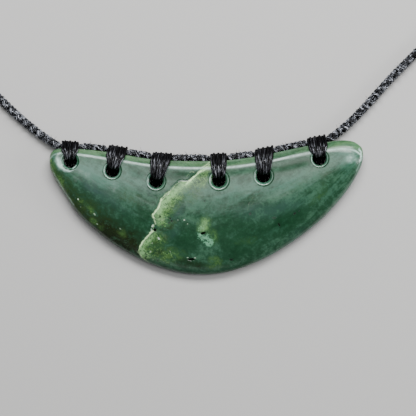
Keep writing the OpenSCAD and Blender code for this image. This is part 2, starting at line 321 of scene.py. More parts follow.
# The clasp.
# A small turned barrel of blackened metal at the back of the neck, that the cord's two ends
# are glued into. It is plain, with a seam round its middle and a ferrule at each end.
CLASP_MIDDLE = (0, 103.8, 2.5)
CLASP_STEPS = 64
# along the barrel from its middle, and radius
BARREL = [
    (6.0, 1.55), (5.95, 1.75), (5.2, 2.3), (4.8, 2.42), (4.5, 2.42), (4.35, 2.25), (4.2, 2.42),
    (3.9, 2.5), (0.35, 2.5), (0.25, 2.4), (0.12, 2.3), (0, 2.28),
]
BLACKENED = (0.018, 0.018, 0.02, 1)
RUBBED_GREY = (0.07, 0.068, 0.065, 1)

barrel = bmesh.new()
outline = BARREL + [(-along, radius) for along, radius in BARREL[-2::-1]]
ends = [barrel.verts.new(Vector((along, radius, 0)) * MM) for along, radius in outline]
profile = [barrel.edges.new(pair) for pair in zip(ends, ends[1:])]
bmesh.ops.spin(barrel, geom=ends + profile, cent=(0, 0, 0), axis=(1, 0, 0), angle=2 * math.pi,
               steps=CLASP_STEPS, use_merge=True)
bmesh.ops.holes_fill(barrel, edges=[e for e in barrel.edges if e.is_boundary], sides=0)
bmesh.ops.recalc_face_normals(barrel, faces=barrel.faces)
bmesh.ops.translate(barrel, vec=Vector(CLASP_MIDDLE) * MM, verts=barrel.verts)
clasp = shaped("barrel_clasp", barrel)
clasp.data.shade_smooth()
clasp.data.set_sharp_from_angle(angle=math.radians(40))
blackened, tree, shader = material("blackened_metal")
place = node(tree, "ShaderNodeTexCoord").outputs["Object"]
rubbed = node(tree, "ShaderNodeTexNoise", {"Vector": place, "Scale": 700.0, "Detail": 5.0}).outputs["Fac"]
wear_and_highlight = node(tree, "ShaderNodeMapRange", {"Value": rubbed, "To Min": 0.22, "To Max": 0.5})
tone = node(tree, "ShaderNodeMix", {0: rubbed, 6: BLACKENED, 7: RUBBED_GREY}, data_type="RGBA")
tree.links.new(wear_and_highlight.outputs[0], shader.inputs["Roughness"])
tree.links.new(tone.outputs[2], shader.inputs["Base Color"])
shader.inputs["Metallic"].default_value = 0.9
clasp.data.materials.append(blackened)
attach(clasp, "root")
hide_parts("clasp")

# The stone.
# One crescent of green nephrite, sawn, ground and polished by hand. The face is domed and has a
# bevel along its straighter edge; the back is flatter. Six holes are drilled and countersunk.
HALF_LENGTH = 52.5
# each tip is rounded off over this length
TIP_R = 0.4
# the face falls over this width to the bevel, and the back rises over the second towards that edge
FALL_W = 12
RELIEF_W = 17
# heights as a share of the thickness: the upper edge's nose, the bevel's arris, the lower edge, and
# the back where it tucks under the upper edge, with the width of that tuck
NOSE_Z, ARRIS_Z, LOWER_EDGE_Z, TUCK_Z = 0.58, 0.9, 0.33, 0.333
TUCK_W = 1.4
# how softly the arris, the lower edge and the edge of the rubbed flat are rounded
ARRIS_SOFT, RIM_SOFT, FLAT_SOFT = 0.6, 0.05, 0.08
# x, and how wide the bevel along the upper edge is there
BEVEL = [
    (-45, 1.5), (-40, 1.85), (-34, 2.1), (-20, 2.0), (-6, 2.2), (12, 2.35), (33, 2.3),
    (41, 2.65), (46, 2.75),
]
BORE_R = 2.3
BORE_SIDES = 96
DRILL_LENGTH = 30
# the countersinks: a small step down at the rim, a flatter ring, then a hollow cone into the bore
SINK_STEP, SINK_RING, SINK_CONE, CONE_FROM = 0.05, 0.05, 0.42, 0.38
# a dish worn beside the first hole: middle, radius and depth
WORN_DISH = (-47.2, 15.4, 3.3, 0.36)
# waves that the hand polish leaves: height, size and seed
WAVES = [(0.05, 7.0, 3.1), (0.02, 2.8, 7.3)]
# heights at the crack: the step up on its right, the lip on it and the groove left of it
CRACK_STEP, CRACK_LIP, CRACK_GROOVE = 0.10, 0.06, 0.07
# the mesh: rings from tip to tip, points round each, and how much of half a ring the bevel takes up
STONE_RINGS, STONE_AROUND = 260, 184
ARRIS_U = 28 / STONE_AROUND
# it is finer this near to a hole's or a pit's rim and to the crack, where a face is larger than this
FINE_MARGIN, FINE_NEAR, FINE_AREA = 0.4, 0.7, 0.04
# x, upper edge, lower edge, height of the face and height of the back
SECTIONS = [
    (-52.5, 16.1, 14.0, 3.9, 2.3), (-52.0, 17.6, 11.9, 4.8, 1.5), (-50.6, 18.8, 9.2, 5.6, 0.9),
    (-47.8, 19.3, 4.7, 6.0, 0.4), (-43.8, 19.1, -1.6, 6.3, 0.1), (-37.5, 18.6, -7.8, 6.7, -0.2),
    (-29.0, 17.4, -14.0, 6.9, -0.35), (-18.0, 15.6, -19.6, 7.0, -0.35), (-6.0, 15.0, -22.7, 7.0, -0.35),
    (6.0, 15.2, -22.3, 7.0, -0.35), (18.1, 16.8, -18.2, 7.0, -0.35), (29.0, 19.1, -11.9, 6.9, -0.35),
    (38.0, 20.9, -4.9, 6.6, -0.2), (44.6, 21.9, 2.0, 6.2, 0.1), (48.8, 21.6, 7.6, 5.7, 0.6),
    (51.3, 20.2, 12.2, 4.8, 1.4), (52.3, 18.8, 15.0, 4.1, 2.1), (52.5, 17.9, 16.6, 3.7, 2.4),
]
# the healed crack that crosses the face, from the top edge to the lower edge
CRACK = [
    (2.4, 16.6), (1.2, 13.9), (-2.2, 11.9), (-3.8, 10.1), (-6.2, 8.2), (-8.8, 8.3), (-10.7, 6.7),
    (-12.1, 4.5), (-14.9, 2.3), (-15.7, 0.3), (-17.8, -3.1), (-17.1, -5.5), (-17.8, -7.4),
    (-18.0, -8.7), (-19.9, -10.5), (-21.7, -12.7), (-22.8, -15.1), (-21.8, -17.2), (-19.9, -18.7),
    (-18.0, -20.5),
]
# bright threads of it and finer pale lines beside it: half width, strength and their points
VEINLETS = [
    (0.18, 1.5, [(-1.7, 11.7), (-3.4, 10.2), (-5.2, 8.6), (-6.5, 7.5)]),
    (0.10, 0.2, [(-6.5, 7.5), (-7.6, 6.5)]),
    (0.22, 0.45, [(1.6, 14.8), (-0.4, 13.4), (-1.9, 12.3)]),
    (0.20, 0.40, [(1.6, 13.3), (0.2, 12.2), (-1.4, 11.6)]),
    (0.22, 0.55, [(-10.6, 6.5), (-11.9, 5.0), (-13.6, 3.7), (-15.0, 2.2)]),
    (0.24, 1.5, [(-15.0, 2.2), (-15.5, 0.3), (-16.0, -0.8), (-17.0, -1.9), (-17.8, -3.0), (-17.6, -3.8)]),
    (0.16, 0.7, [(-17.6, -3.8), (-17.1, -4.9), (-16.8, -6.0)]),
    (0.30, 0.16, [(-17.6, -3.8), (-16.0, -4.5), (-14.3, -4.6), (-13.3, -4.1)]),
    (0.21, 1.7, [(-17.7, -8.2), (-20.1, -10.8)]),
    (0.20, 1.6, [(-20.1, -10.8), (-21.5, -12.5), (-22.1, -13.6)]),
    (0.16, 0.40, [(-22.1, -13.6), (-22.7, -15.2), (-21.8, -16.9), (-20.2, -18.2)]),
    (0.40, 0.05, [(-17.0, -8.6), (-15.4, -8.7), (-13.9, -9.7), (-13.3, -10.8)]),
    (0.12, 0.05, [(-11.8, -16.2), (-10.9, -17.6), (-9.9, -19.3)]),
    (0.12, 0.22, [(-5.5, 11.0), (-4.9, 11.5), (-4.2, 11.3)]),
    (0.12, 0.22, [(-6.6, 9.8), (-6.1, 10.5), (-5.7, 10.4)]),
    (0.14, 0.04, [(15.7, 2.9), (14.2, 1.0), (13.8, -1.5)]),
    (0.12, 0.03, [(16.6, 2.2), (15.0, 0.6)]),
]
# lines of painted highlight along the rims and round the first hole: half width, strength and their points
HIGHLIGHT_LINES = [
    (0.28, 1.2, [(51.1, 19.0), (51.6, 17.8), (51.7, 16.5), (51.4, 15.0)]),
    (0.26, 0.4, [(51.4, 15.0), (50.8, 13.4), (50.1, 11.8)]),
    (0.20, 0.4, [(-50.9, 11.0), (-49.3, 7.9), (-47.4, 4.9), (-44.2, 0.4)]),
    (0.25, 1.3, [(-49.2, 13.8), (-47.4, 12.3), (-45.6, 11.7), (-44.2, 12.3), (-43.4, 13.4)]),
]
# chips and inclusions: middle, half length, half width, turn, depth, and how dark (1) or white (-1)
# the white marks beside the pits near (-5, -17.5) and (-17, -8) are painted highlights; the other white
# ones are crystals
PITS = [
    (-1.1, -9.1, 0.95, 0.45, 15, 0.75, 1.2), (-4.9, -17.8, 1.25, 0.45, 5, 0.6, 1.2),
    (-3.8, -17.3, 0.5, 0.25, 0, 0.05, -0.9), (-6.2, -17.2, 0.45, 0.2, 0, 0.05, -0.6),
    (-17.1, -8.0, 0.65, 0.5, -30, 0.6, 1.2), (-17.8, -6.6, 0.5, 0.35, 60, 0.10, -1.4),
    (-18.2, -7.9, 0.25, 0.5, 0, 0.10, -1.4), (-15.4, -3.7, 0.4, 0.25, 20, 0.02, 0.875),
    (14.1, 0.9, 0.6, 0.25, 70, 0.02, 0.45), (24.2, -6.2, 0.75, 0.35, -60, 0.02, 1.2),
    (29.4, -2.5, 0.7, 0.4, 40, 0.02, 0.7), (8.3, -17.9, 0.8, 0.5, 0, 0.02, 0.7),
    (-0.6, 1.6, 0.5, 0.25, 40, 0.02, 0.5625), (-11.5, -5.0, 0.5, 0.3, 30, 0.02, 0.75),
    (-42.7, 2.3, 0.42, 0.3, -50, 0.1, -0.9), (-37.2, -2.7, 0.55, 0.25, -50, 0.08, -0.9),
    (-36.4, -6.0, 0.35, 0.22, -40, 0.06, -0.7), (-41.9, -0.3, 0.25, 0.2, 0, 0.05, -0.5),
    (-7.3, -4.6, 0.36, 0.3, 0, 0.05, -0.85), (-6.2, -5.9, 0.3, 0.25, 0, 0.04, -0.35),
    (-15.7, -10.9, 0.5, 0.3, -50, 0.05, -0.7), (-9.4, -4.6, 0.25, 0.2, 0, 0.04, -0.4),
    (-28.6, -7.6, 0.5, 0.2, -45, 0.04, -0.5), (-12.0, -15.2, 0.55, 0.16, -55, 0.03, -0.45),
    (-15.4, -3.3, 0.45, 0.35, 10, 0.02, 0.625), (-12.0, -4.2, 0.4, 0.35, 30, 0.02, 0.75),
    (-12.4, -5.6, 0.5, 0.3, -30, 0.02, 0.625), (-14.6, -6.3, 0.6, 0.25, 10, 0.02, 0.625),
    (-18.5, -10.8, 0.45, 0.3, 40, 0.02, 0.625), (-20.2, -15.8, 0.35, 0.4, 20, 0.02, 0.625),
    (-20.3, -17.2, 0.35, 0.3, 0, 0.02, 0.625), (-16.2, -18.2, 0.4, 0.5, 20, 0.02, 0.5625),
    (-19.3, -13.7, 0.3, 0.3, 0, 0.02, 0.5), (-15.9, -10.6, 0.35, 0.5, 30, 0.03, -0.7),
    (-18.6, -15.2, 0.5, 0.35, 60, 0.03, -0.45), (-18.0, -12.4, 0.35, 0.4, 0, 0.03, -0.35),
    (-17.8, -18.0, 0.4, 0.3, 0, 0.03, -0.3), (-9.1, -2.3, 0.25, 0.2, 0, 0.02, 0.625),
    (14.6, -2.5, 0.7, 0.5, 60, 0.02, 0.5), (30.9, -1.6, 0.5, 0.3, 40, 0.02, 0.5),
    (22.6, -3.9, 1.0, 0.6, 0, 0.02, 0.42),
]
fine_rows = smoothed(SECTIONS, 20)


def section_at(x):
    """Upper edge, lower edge, face height and back height of the stone at x."""
    return [np.interp(x, fine_rows[:, 0], fine_rows[:, column]) for column in (1, 2, 3, 4)]


def bevel_at(x):
    """Width of the bevel along the upper edge at x."""
    return np.interp(x, *zip(*BEVEL))


def soft_min(a, b, blend):
    """The lower of two heights, rounded over where they cross."""
    h = np.clip(0.5 + 0.5 * (b - a) / blend, 0, 1)
    return b + (a - b) * h - blend * h * (1 - h)


def face_z(w, h, crown, belly, bevel):
    """Height of the face at distance w in from the upper edge, on a section h high."""
    bevel = np.minimum(bevel, h / 4)
    fall = np.minimum(FALL_W, 0.3 * h)
    rounding = 0.6 * h
    thick = crown - belly
    ramp = belly + thick * (NOSE_Z + (ARRIS_Z - NOSE_Z) * (np.maximum(w, 0) / bevel) ** 0.8)
    inner = np.clip((w - bevel) / fall, 0, 1)
    dome = crown - thick * (1 - ARRIS_Z) * (1 - inner) ** 2
    low = np.clip((h - w) / rounding, 0, 1)
    lower = belly + thick * (LOWER_EDGE_Z + (1 - LOWER_EDGE_Z) * np.sqrt(1 - (1 - low) ** 2))
    return soft_min(soft_min(ramp, dome, ARRIS_SOFT), lower, RIM_SOFT)


def back_z(w, h, crown, belly):
    """Height of the back at distance w in from the upper edge, rubbed flat where it would pass zero."""
    relief = np.minimum(RELIEF_W, h / 2)
    keel = np.minimum(9, 0.4 * h)
    thick = crown - belly
    tuck = TUCK_W * np.minimum(1, h / 12)
    under = belly + thick * TUCK_Z * (1 - np.clip((w - tuck) / (relief - tuck), 0, 1)) ** 1.3
    nose = belly + thick * (TUCK_Z + (NOSE_Z - TUCK_Z) * (1 - np.clip(w / tuck, 0, 1)) ** 1.15)
    low = belly + thick * LOWER_EDGE_Z * (1 - np.clip((h - w) / keel, 0, 1)) ** 2
    back = np.maximum(np.where(w < tuck, nose, under), low)
    return -soft_min(-back, 0 * w, FLAT_SOFT) - FLAT_SOFT / 4


def line_distance(points, x, y):
    """Distance to a line of points, positive on its left-hand side as it is walked."""
    best = np.full(len(x), 1e9)
    side = np.ones(len(x))
    for (ax, ay), (bx, by) in zip(points, points[1:]):
        dx, dy = bx - ax, by - ay
        t = np.clip(((x - ax) * dx + (y - ay) * dy) / (dx * dx + dy * dy), 0, 1)
        far = np.hypot(x - ax - t * dx, y - ay - t * dy)
        side = np.where(far < best, np.sign(dx * (y - ay) - dy * (x - ax)), side)
        best = np.minimum(far, best)
    return best * side


def turned(dx, dy, degrees):
    """How far an offset reaches along a direction and aside of it."""
    c, s = math.cos(math.radians(degrees)), math.sin(math.radians(degrees))
    return dx * c + dy * s, dy * c - dx * s


def in_pit(pit, x, y):
    """Distance from a pit's middle, 1 at its rim."""
    px, py, long, wide, turn = pit[:5]
    along, aside = turned(x - px, y - py, turn)
    return np.hypot(along / long, aside / wide)


def ridge(distance, width):
    """1 where the distance is 0, fading over the width on both sides."""
    return np.exp(-(distance / width) ** 2)


def waviness(x, y, size, seed):
    """Smooth noise over the stone, from -1 to 1."""
    return np.array([noise.noise((a / size, b / size, seed)) for a, b in zip(x, y)])


def face_details(x, y):
    """What stands above or below the smooth face: the hand polish, crack, pits and a worn dish."""
    lift = sum(height * waviness(x, y, size, seed) for height, size, seed in WAVES)
    d = line_distance(CRACK, x, y) + 0.22 * waviness(x, y, 0.9, 8.7)
    lift += CRACK_STEP * smoothstep(-0.2, 0.15, d) * np.exp(-np.maximum(d, 0) / 2.5)
    lift += CRACK_LIP * ridge(d - 0.15, 0.22)
    lift -= CRACK_GROOVE * ridge(d + 0.3, 0.22)
    for pit in PITS:
        far = in_pit(pit, x, y) + 0.3 * waviness(x, y, 0.3, pit[0])
        lift -= pit[5] * (1 - smoothstep(0.4, 1.15, far))
    dx, dy, dish_r, dish_depth = WORN_DISH
    return lift - dish_depth * (1 - smoothstep(0.35, 1, np.hypot(x - dx, y - dy) / dish_r))


def sink_depth(x, y):
    """Depth of the countersinks below the stone's surface."""
    depth = np.zeros(len(x))
    for hx, hy, sink_r, *_ in BINDINGS:
        share = np.clip((sink_r - np.hypot(x - hx, y - hy)) / (sink_r - BORE_R), 0, 1.1)
        depth += SINK_STEP * smoothstep(0, 0.16, share) + SINK_RING * share
        cone = np.maximum(share - CONE_FROM, 0) / (1 - CONE_FROM)
        depth += SINK_CONE * (sink_r - BORE_R) * cone ** 1.5
    return depth


def across_at(u, h, bevel):
    """Distance in from the upper edge at share u of the way over, with one line of mesh on the arris."""
    bevel = np.minimum(bevel, h / 4)
    t = np.clip(u / ARRIS_U, 0, 1)
    v = np.clip((u - ARRIS_U) / (1 - ARRIS_U), 0, 1)
    v = 1.03 * v * v / (v + 0.03)
    return bevel * t * t * (3 - 2 * t) + (h - bevel) * (0.4 * v + 0.6 * np.sin(v * math.pi / 2))


def on_stone(co):
    """Moves points to the nearer of the stone's face and back, straight up or down."""
    top, low, crown, belly = section_at(co[:, 0])
    w = top - co[:, 1]
    h = top - low
    inside = smoothstep(0.0, 1.2, np.minimum(w, h - w))
    sunk = sink_depth(co[:, 0], co[:, 1]) * smoothstep(0.0, 0.4, w)
    face = face_z(w, h, crown, belly, bevel_at(co[:, 0]))
    back = back_z(w, h, crown, belly)
    is_face = co[:, 2] > (face + back) / 2
    face = face + face_details(co[:, 0], co[:, 1]) * inside - sunk
    return np.column_stack([co[:, :2], np.where(is_face, face, np.maximum(back, 0) + sunk)])


ball = bmesh.new()
bmesh.ops.create_uvsphere(ball, u_segments=STONE_AROUND, v_segments=STONE_RINGS, radius=1)
bmesh.ops.rotate(ball, cent=(0, 0, 0), matrix=Matrix.Rotation(math.pi / 2, 3, "Y"), verts=ball.verts)
on_ball = np.array([v.co for v in ball.verts])
angle = np.arctan2(on_ball[:, 2], on_ball[:, 1])
x = HALF_LENGTH * np.clip(on_ball[:, 0], -1, 1)
top, low, crown, belly = section_at(x)
tip = np.sqrt(np.clip(1 - (np.maximum(np.abs(x) - HALF_LENGTH + TIP_R, 0) / TIP_R) ** 2, 0, 1))
y = top - across_at(np.abs(angle) / math.pi, top - low, bevel_at(x))
co = on_stone(np.column_stack([x, y, np.where(angle >= 0, 9.0, -9.0)]))
middle = np.column_stack([x, (top + low) / 2, (crown + belly) / 2])
co[:, 1:] = middle[:, 1:] + (co[:, 1:] - middle[:, 1:]) * tip[:, None]
for vert, place in zip(ball.verts, co):
    vert.co = place

# finer mesh round the holes, the pits and the crack with its threads, put back on the same surface
sink_zones = [(hx, hy, BORE_R - FINE_MARGIN, sink_r + FINE_MARGIN) for hx, hy, sink_r, *_ in BINDINGS]
pit_zones = [(px, py, -1, max(long, wide) + FINE_MARGIN) for px, py, long, wide, *_ in PITS]
lines = [CRACK] + [points for _, _, points in VEINLETS]
for zones, both_sides, cuts in ((sink_zones, True, 2), (pit_zones, False, 3), ([], True, 3)):
    middles = np.array([f.calc_center_median() for f in ball.faces])
    to_lines = [np.abs(line_distance(line, middles[:, 0], middles[:, 1])) for line in lines]
    to_line = np.min(to_lines, axis=0)
    chosen = to_line < (0 if zones else FINE_NEAR)
    for zx, zy, nearest, furthest in zones:
        far = np.hypot(middles[:, 0] - zx, middles[:, 1] - zy)
        chosen |= (far > nearest) & (far < furthest)
    chosen &= both_sides | (middles[:, 2] > 2.5)
    picked = [f for f, pick in zip(ball.faces, chosen) if pick and f.calc_area() > FINE_AREA]
    edges = list(dict.fromkeys(e for f in picked for e in f.edges))
    bmesh.ops.subdivide_edges(ball, edges=edges, cuts=cuts, use_grid_fill=True)
co = np.array([v.co for v in ball.verts])
body = np.abs(co[:, 0]) < HALF_LENGTH - TIP_R
co[body] = on_stone(co[body])
for vert, place in zip(ball.verts, co):
    vert.co = Vector(place) * MM
bmesh.ops.recalc_face_normals(ball, faces=ball.faces)
stone = shaped("greenstone_crescent", ball)

# the six bores
drills = bmesh.new()
for hx, hy, *_ in BINDINGS:
    bmesh.ops.create_cone(drills, cap_ends=True, segments=BORE_SIDES, radius1=BORE_R * MM,
                          radius2=BORE_R * MM, depth=DRILL_LENGTH * MM,
                          matrix=Matrix.Translation((hx * MM, hy * MM, 0)))
drill = shaped("drill", drills)
cut = stone.modifiers.new("bores", "BOOLEAN")
cut.object = drill
cut.solver = "EXACT"
bored = bpy.data.meshes.new_from_object(stone.evaluated_get(bpy.context.evaluated_depsgraph_get()))
stone.modifiers.clear()
stone.data = bored
bored.name = "greenstone_crescent"
bpy.data.objects.remove(drill)
bored.shade_smooth()
bored.set_sharp_from_angle(angle=math.radians(50))

# Clouds in the stone: how strong, middle, half lengths and turn in degrees. The last three kinds
# lie only to the right of the crack.
CLOUDS = {
    # paler stone, and a painted sheen where the polished dome would reflect the lamps
    "pale": [
        (0.8, -40, 12, 8, 3.5, -8), (0.6, -27, 9, 9, 4, -12), (0.35, -25.5, 3, 5, 3.2, -30),
        (0.3, -36, 8, 6, 2.2, -25), (0.3, -51, 14.5, 2.5, 3.5, 0), (0.25, -17.5, 9, 5, 5, 0),
        (0.55, 4.5, 3, 7, 4, -10), (0.6, 15, 6.5, 8, 3, 0), (0.5, 25, 7, 8, 2.6, 10),
        (0.35, 33, 9.5, 8, 3, 18), (1, 46, 16.5, 5, 4, 10), (0.25, -5, -0.5, 5, 3, 0),
        (0.1, 13, 1, 4, 2.5, 0), (0.5, -34.3, 7.6, 4, 1.4, -35), (0.35, -38.6, 11.2, 3.6, 1.2, -42),
        (0.25, 28, 1, 8, 2.5, 20), (0.2, 44, 6, 6, 1.6, 50), (0.4, -4, 5, 6, 2.2, 0),
        (0.3, 17, 4.2, 5, 1.6, 5),
    ],
    "slate": [
        (0.7, -33.5, 3, 7, 2.2, -40), (0.6, -39, 6.5, 4, 1.6, -35), (0.6, -9.5, -2.6, 4, 1.2, 40),
        (0.5, 17, -1.5, 8, 2.6, 5), (0.4, 26, 0, 6, 2.2, 15), (0.4, -18.5, 6, 3, 3, 0),
        (0.5, -11, -8.5, 2.5, 1.6, 60), (0.4, 30, -11, 5, 2, 35),
    ],
    "deep": [
        (0.35, -31.5, 4, 5, 3, -15), (0.5, -24, -4, 8, 4.5, -30), (0.15, -49.5, 8, 3, 5.5, 25),
        (0.25, -40, 1, 9, 4, -42), (0.25, -31, -4, 9, 4, -38), (0.2, -44, 6, 4, 3, -45),
        (0.1, -33, -8.5, 6, 2.6, -40), (0.2, -24, -9.5, 3.5, 3, 0), (0.1, -17.5, 9, 5, 5, 0),
        (0.4, -19.5, -3.5, 2, 4, 0), (0.3, 12.5, 13.2, 9, 1.7, 8), (0.5, 29.0, 13.4, 7, 2.4, 14),
        (0.3, 12, 0, 9, 3.4, 0), (0.8, -7, -11, 7, 5, 0), (0.6, 9, -6.5, 7, 5, 0),
        (0.65, 29, -5.5, 6, 3.2, 32), (0.6, 24.8, -4.6, 3, 1.8, 25), (0.4, 30.0, -1.6, 1.4, 0.8, 30),
        (0.6, 20, -8, 8, 4, 20), (0.6, 10, -15.5, 9, 4, 14), (0.3, 38, 3, 6, 3, 45),
        (0.4, -5, -19.3, 6, 1.8, -5), (0.1, 13, 1, 4, 2.5, 0), (0.9, -23.5, 10.8, 4, 2.2, -10),
        (0.5, 12, 9.3, 4, 1.4, 0), (1.0, -10.0, 10.4, 5, 2.2, -8), (0.5, -37, 12.5, 2.5, 1.6, -8),
        (0.3, 2.5, -2.2, 4, 2.0, 0),
    ],
    "olive": [
        (0.12, -25.5, 3, 5, 3.2, -30), (0.6, -49.5, 8, 3, 5.5, 25), (0.28, -40, 1, 9, 4, -42),
        (0.22, -31, -4, 9, 4, -38), (0.1, -44, 6, 4, 3, -45), (0.55, -42, -1.5, 6, 2.2, -48),
        (0.95, -33, -8.5, 6, 2.6, -40), (0.8, -25, -13.5, 6, 3, -33), (0.35, -24, -9.5, 3.5, 3, 0),
        (0.3, -40.9, 1, 1.2, 0.8, -40), (0.5, -5, -19.3, 6, 1.8, -5), (0.35, 3.4, -19.0, 1.6, 1.6, 0),
        (0.25, 13, -11, 2.4, 1.4, 0), (0.3, -48.6, 11.0, 1.1, 1.9, 30),
        (0.30, -51.2, 13.0, 1.1, 4.5, 8), (0.30, -48.6, 6.0, 1.2, 5.0, 32),
        (0.14, 24.8, -4.6, 3, 2, 25),
    ],
    "moss": [
        (0.16, -25.5, 3, 5, 3.2, -30), (0.26, -49.5, 8, 3, 5.5, 25), (0.12, -40, 1, 9, 4, -42),
        (0.06, -31, -4, 9, 4, -38), (0.05, -44, 6, 4, 3, -45), (0.18, -42, -1.5, 6, 2.2, -48),
        (0.05, -33, -8.5, 6, 2.6, -40), (0.08, -25, -13.5, 6, 3, -33), (0.6, -51.4, 14.0, 1.3, 4.0, 5),
        (0.7, -49.0, 8.5, 1.3, 3.4, 28), (0.4, -40.9, 1, 1.2, 0.8, -40),
        (0.7, -38.8, -1.4, 1.3, 0.7, -50), (0.9, -37.5, -5.1, 1.2, 0.8, -50),
        (0.5, -35, -7.3, 1, 0.6, -40), (0.35, -27.8, -9.5, 1.5, 1.4, 0),
        (0.25, -29.2, -16.2, 1.6, 0.7, -35), (0.8, 2.6, -19.4, 2.0, 1.8, 10),
        (0.32, -10.8, -15.5, 4, 2.2, -25), (0.22, 37, 3.5, 5, 2, 40), (0.26, 13, -11.7, 4, 1.8, 20),
        (0.16, 30, 7.5, 5, 1.4, 20), (0.12, 40, 10, 4, 2, 60), (0.6, -0.7, -5.9, 1.7, 2.9, -6),
        (0.5, 2.2, -10.6, 1.7, 2.6, 15), (0.3, -51.6, 13.5, 0.9, 4.5, 8),
        (0.35, -49.3, 6.5, 0.9, 4.5, 28), (0.3, -46.0, 1.5, 0.9, 4, 36),
    ],
    "mint": [
        (0.12, -0.9, -5.6, 1.5, 2.4, -6), (0.35, -1.9, -7, 0.7, 1.8, -10),
        (0.15, 2.2, -10.6, 1.7, 2.6, 15), (1.3, 0, -11.2, 1.2, 2.1, 42), (0.9, 1.3, -12.8, 1, 1.2, 0),
        (0.8, -2, -10.2, 0.6, 0.9, 0),
    ],
    # painted highlights round the first hole, at the right tip and in the upper left
    "wear_and_highlight": [
        (1.1, -49.0, 14.6, 0.8, 1.6, 8), (0.8, -48.1, 13.1, 0.6, 1.3, 42),
        (0.3, -46.5, 11.9, 1.4, 0.4, -14), (0.75, 48.0, 16.2, 2.0, 1.2, 10),
        (0.20, -41, 10.6, 4.5, 1.4, -35), (0.20, -31.5, 6.6, 3.5, 1.4, -38),
        (0.12, -44.0, 8.5, 2, 1.2, -40),
    ],
    "cream": [
        (0.7, -1.2, 11.9, 3, 0.9, 38), (0.8, -6.5, 7.4, 3.2, 1.1, 30), (0.75, -10.6, 4.6, 3.8, 1.3, 52),
        (0.8, -13.8, 1.2, 3.2, 1.2, 58), (0.3, -10, 2.8, 3.4, 1.8, 45), (0.3, -6.8, 5.3, 2.2, 1.0, 30),
        (0.7, -15.8, -2.6, 1.8, 1.5, 0), (0.55, -15.4, -5.4, 1.8, 1.2, 0),
        (0.7, -19.1, -11.2, 3.2, 0.9, 47), (0.8, -21.4, -14.7, 1.1, 2.4, 20),
        (0.05, -17.6, -13.2, 3.8, 2.8, 25), (0.55, -19.4, -16.2, 1.8, 1.2, -35),
        (0.4, -15.7, -10.6, 0.9, 0.7, -20), (0.35, -18.6, -13.0, 1.0, 1.3, 30),
        (0.25, -14.2, -15.6, 1.5, 0.8, 10), (0.1, 0, 9.6, 3.4, 1.8, 60),
        (1.1, -1.2, -6.0, 1.2, 2.2, -6),
    ],
    "leafy": [
        (0.6, -1.2, 11.9, 3, 0.9, 38), (0.5, -6.5, 7.4, 3.2, 1.1, 30), (0.3, -10.6, 4.6, 3.8, 1.3, 52),
        (0.7, -13.6, 0.8, 3.2, 1.3, 58), (0.7, -10.5, 2.4, 3.4, 2.2, 45),
        (1.4, -13.2, -0.6, 3, 2.3, 50), (0.9, -15.8, -2.6, 1.6, 1.4, 0), (0.3, -11.8, -6, 2.6, 0.9, 28),
        (1.2, -15, -5.6, 1.6, 1.2, 0), (0.9, -19.3, -11.2, 3.2, 0.8, 47),
        (1, -21.6, -14.9, 0.9, 2.2, 20), (0.85, -17.6, -13.2, 3.8, 2.8, 25),
        (0.9, -20, -16.6, 2, 1.4, -35), (1.1, -14, -16.6, 4.4, 2.0, -15),
        (0.7, -15.2, -9.8, 2.2, 1.4, -20), (1, 0, 9.6, 3.4, 1.8, 60), (0.3, -5, 3.6, 4, 3, 30),
        (0.8, -2.2, 8.8, 3, 1.2, 42),
    ],
    "shade": [
        (0.8, -13.4, -7.0, 2.8, 0.6, 28), (0.3, -12.0, -5.0, 1.5, 0.5, 10),
        (0.25, -17.6, -13.2, 3.8, 2.8, 25), (0.35, -14, -16.6, 4.4, 1.6, -15),
        (0.5, -15.3, -14.8, 1.2, 1.3, 20), (0.45, -13.6, -9.9, 1.1, 1.7, 20),
        (0.3, -16.4, -12.2, 1.0, 0.7, 0), (0.35, -11.7, 0.6, 0.8, 2.6, -28),
        (0.4, -12.6, -14.4, 1.4, 0.7, 10), (0.4, -19.4, -17.6, 1.2, 0.5, -40),
    ],
}
# painted glow: paler colour along the bevel's arris and along the thin lower rim, where they catch the
# light
ARRIS_GLOW, RIM_GLOW = 0.4, 0.9
# painted highlight on each countersink's lip: how strong, and how far inside the rim it lies
LIP_HIGHLIGHT = 0.65
LIP_HIGHLIGHT_IN = [-0.05, 0.5, 0.45, 0.55, 0.5, 0.45]
# painted highlight along the bevel's arris: how strong and how wide
ARRIS_HIGHLIGHT, ARRIS_HIGHLIGHT_W = 0.7, 0.33
# a strip below the bevel where the polish is duller: how far in, how much more at the right, width
MATT_IN, MATT_IN_RIGHT, MATT_W = 4.4, 1.6, 1.3
# one smear of the hand polish, along the crescent and across it
SMEAR_LONG, SMEAR_WIDE = 9.0, 2.2
count = len(bored.vertices)
co = np.empty(count * 3)
bored.vertices.foreach_get("co", co)
x = co.reshape(-1, 3)[:, 0] / MM
y = co.reshape(-1, 3)[:, 1] / MM
drift_x = x + 1.1 * waviness(x, y, 5.0, 0.4) + 0.5 * waviness(x, y, 1.4, 2.2)
drift_y = y + 1.1 * waviness(x, y, 5.0, 5.4) + 0.5 * waviness(x, y, 1.4, 9.2)


def cloud(strength, cx, cy, long, wide, turn):
    """How much of one cloud of the table lies at each point."""
    along, aside = turned(drift_x - cx, drift_y - cy, turn)
    return strength * np.exp(-(along / long) ** 2 - (aside / wide) ** 2)


def thin_lines(rows, x, y):
    """How much of a table of thin lines (half width, strength and points) lies at each point."""
    return sum(strength * ridge(line_distance(points, x, y), half) for half, strength, points in rows)


masks = {kind: sum(cloud(*row) for row in rows) for kind, rows in CLOUDS.items()}
bevel = bevel_at(x)
inward = section_at(x)[0] - y
from_low = y - section_at(x)[1]
